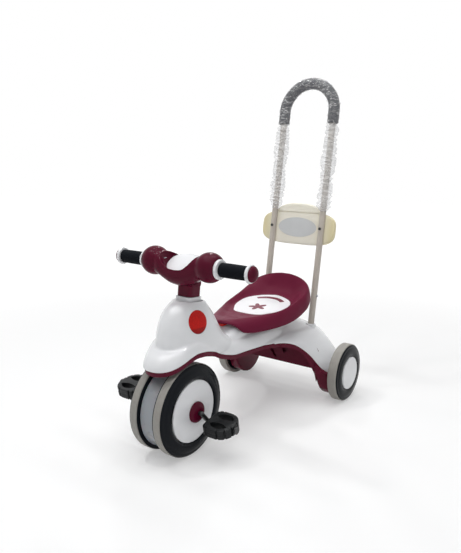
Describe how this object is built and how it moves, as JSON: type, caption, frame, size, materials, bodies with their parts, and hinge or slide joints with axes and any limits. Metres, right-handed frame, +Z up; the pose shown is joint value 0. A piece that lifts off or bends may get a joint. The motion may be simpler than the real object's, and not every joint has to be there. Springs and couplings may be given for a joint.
{
  "type": "toddler push along trike",
  "caption": "Toddler tricycle with a steered pedal front wheel, a moulded body, a lift-up saddle over a small storage well and a tall hooped push handle.",
  "frame": {"origin": "on the ground under the middle of the outline", "axes": "+Z up, the front wheel towards -Y, the rider's left towards +X"},
  "size_m": [0.44, 0.7716, 0.9509],
  "materials": {
    "burgundy_gloss": "glossy moulded plastic",
    "seat_plastic": "satin moulded plastic",
    "white_gloss": "glossy moulded plastic",
    "inlay_white": "smooth inlay with plain shapes",
    "label_grey": "bare printed sticker",
    "tyre_black": "glossy hard plastic",
    "tread_grey": "smooth soft tread",
    "drum_grey": "cloudy plastic",
    "black_plastic": "moulded plastic",
    "crank_black": "black coated steel rod",
    "signal_red": "glossy red plastic",
    "cream_plate": "cloudy cream plastic",
    "tube_paint": "satin powder coat",
    "foam_grey": "closed cell foam",
    "grip_foam": "closed cell foam",
    "clear_film": "clear packing film",
    "steel": "plain steel"
  },
  "bodies": {
    "trike_body": {"upper_shell": "white_gloss", "lower_tray": "burgundy_gloss", "arch_lining": "burgundy_gloss", "leg_ends": "burgundy_gloss", "neck_collar": "white_gloss", "left_reflector": "signal_red", "right_reflector": "signal_red", "rear_axle": "steel", "axle_nuts": "steel", "left_socket": "white_gloss", "right_socket": "white_gloss", "left_leg": "tube_paint", "right_leg": "tube_paint", "handle_hoop": "tube_paint", "hoop_grip": "foam_grey", "handle_plate": "cream_plate", "plate_label": "label_grey", "plate_screws": "steel", "left_wrap": "clear_film", "right_wrap": "clear_film", "hinge_bracket": "steel", "hinge_pin": "steel"},
    "steering": {"fork": "steel", "wheel_drum": "drum_grey", "steering_post": "burgundy_gloss", "bar_stubs": "steel", "bar_housing": "burgundy_gloss", "bar_panel": "white_gloss", "left_bar_ring": "white_gloss", "right_bar_ring": "white_gloss", "left_grip": "grip_foam", "right_grip": "grip_foam", "left_flange": "white_gloss", "right_flange": "white_gloss", "left_bar_cap": "burgundy_gloss", "right_bar_cap": "burgundy_gloss"},
    "front_wheel": {"crank_shaft": "crank_black", "pedal_nuts": "steel", "left_disc": "tyre_black", "right_disc": "tyre_black", "left_tread": "tread_grey", "right_tread": "tread_grey", "left_front_cap": "white_gloss", "right_front_cap": "white_gloss", "left_dome": "burgundy_gloss", "right_dome": "burgundy_gloss"},
    "left_pedal_body": {"left_pedal": "black_plastic"},
    "right_pedal_body": {"right_pedal": "black_plastic"},
    "left_rear_wheel": {"left_rim": "tyre_black", "left_rear_tread": "tread_grey", "left_rear_cap": "white_gloss"},
    "right_rear_wheel": {"right_rim": "tyre_black", "right_rear_tread": "tread_grey", "right_rear_cap": "white_gloss"},
    "seat": {"seat_shell": "seat_plastic", "seat_inlay": "inlay_white", "hinge_leaf": "steel"},
    "latch": {"seat_latch": "signal_red"},
    "left_snap": {"left_button": "steel"},
    "right_snap": {"right_button": "steel"}
  },
  "joints": [
    {"name": "steering", "type": "hinge", "parent": "trike_body", "child": "steering", "pos_m": [0, -0.22278, 0.383], "axis": [0, 0.1045, 0.9945], "range_deg": [-35, 35]},
    {"name": "front_wheel_spin", "type": "hinge", "parent": "steering", "child": "front_wheel", "pos_m": [0, -0.27078, 0.115], "axis": [1, 0, 0], "continuous": true},
    {"name": "left_pedal_spin", "type": "hinge", "parent": "front_wheel", "child": "left_pedal_body", "pos_m": [0.121, -0.24402, 0.08527], "axis": [1, 0, 0], "continuous": true},
    {"name": "right_pedal_spin", "type": "hinge", "parent": "front_wheel", "child": "right_pedal_body", "pos_m": [-0.121, -0.29755, 0.14473], "axis": [1, 0, 0], "continuous": true},
    {"name": "left_rear_spin", "type": "hinge", "parent": "trike_body", "child": "left_rear_wheel", "pos_m": [0.202, 0.26322, 0.0855], "axis": [1, 0, 0], "continuous": true},
    {"name": "right_rear_spin", "type": "hinge", "parent": "trike_body", "child": "right_rear_wheel", "pos_m": [-0.202, 0.26322, 0.0855], "axis": [1, 0, 0], "continuous": true},
    {"name": "seat_lid", "type": "hinge", "parent": "trike_body", "child": "seat", "pos_m": [0, 0.19922, 0.292], "axis": [-1, 0, 0], "range_deg": [0, 40]},
    {"name": "latch_press", "type": "slide", "parent": "trike_body", "child": "latch", "axis": [0, 1, 0], "range_m": [0, 0.004], "stiffness_N_per_m": 400},
    {"name": "left_snap_press", "type": "slide", "parent": "trike_body", "child": "left_snap", "axis": [-1, 0, 0], "range_m": [0, 0.003], "stiffness_N_per_m": 400},
    {"name": "right_snap_press", "type": "slide", "parent": "trike_body", "child": "right_snap", "axis": [1, 0, 0], "range_m": [0, 0.003], "stiffness_N_per_m": 400}
  ]
}
